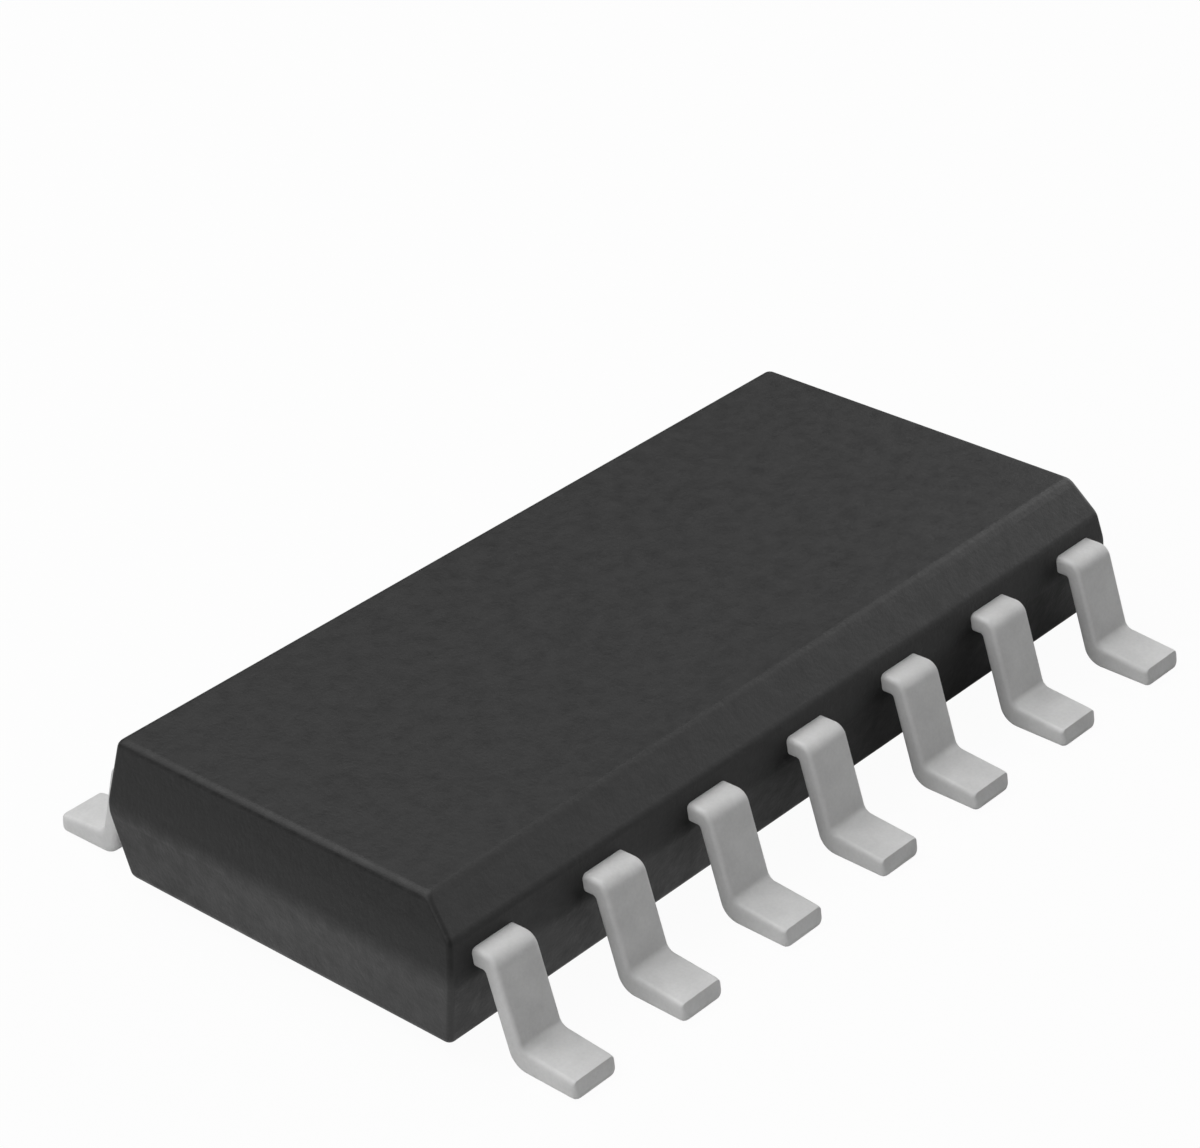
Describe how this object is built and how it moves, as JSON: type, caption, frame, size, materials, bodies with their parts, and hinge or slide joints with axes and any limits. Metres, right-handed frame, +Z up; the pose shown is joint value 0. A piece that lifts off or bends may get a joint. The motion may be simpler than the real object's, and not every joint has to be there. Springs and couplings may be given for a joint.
{
  "type": "buffer chip",
  "caption": "Surface-mount buffer chip: drafted black moulding with one bevelled top edge, gull-wing leads along both long sides, and a wired silicon die inside.",
  "frame": {"origin": "on the board plane, where the toes of the leads stand, under the middle of the moulding", "axes": "+X along the long side, from the end with leads 1 and 14 to the end with leads 7 and 8; +Z up, out of the plain top; -Y towards the bevelled side with leads 1 to 7"},
  "size_m": [0.0086, 0.006, 0.0015],
  "materials": {
    "moulding_compound": "fine matt moulded black epoxy",
    "tinned_leads": "satin matte-tin plating over copper alloy",
    "frame_copper": "bare stamped copper alloy",
    "silver_adhesive": "cured silver-filled epoxy",
    "silicon": "polished silicon",
    "gold_wire": "drawn gold wire"
  },
  "bodies": {
    "root": {"mould_body": "moulding_compound", "lead_01": "tinned_leads", "lead_02": "tinned_leads", "lead_03": "tinned_leads", "lead_04": "tinned_leads", "lead_05": "tinned_leads", "lead_06": "tinned_leads", "lead_07": "tinned_leads", "lead_08": "tinned_leads", "lead_09": "tinned_leads", "lead_10": "tinned_leads", "lead_11": "tinned_leads", "lead_12": "tinned_leads", "lead_13": "tinned_leads", "lead_14": "tinned_leads", "die_paddle": "frame_copper", "die_attach": "silver_adhesive", "silicon_die": "silicon", "bond_wire_01": "gold_wire", "bond_wire_02": "gold_wire", "bond_wire_03": "gold_wire", "bond_wire_04": "gold_wire", "bond_wire_05": "gold_wire", "bond_wire_06": "gold_wire", "bond_wire_07": "gold_wire", "bond_wire_08": "gold_wire", "bond_wire_09": "gold_wire", "bond_wire_10": "gold_wire", "bond_wire_11": "gold_wire", "bond_wire_12": "gold_wire", "bond_wire_13": "gold_wire", "bond_wire_14": "gold_wire"}
  },
  "joints": []
}
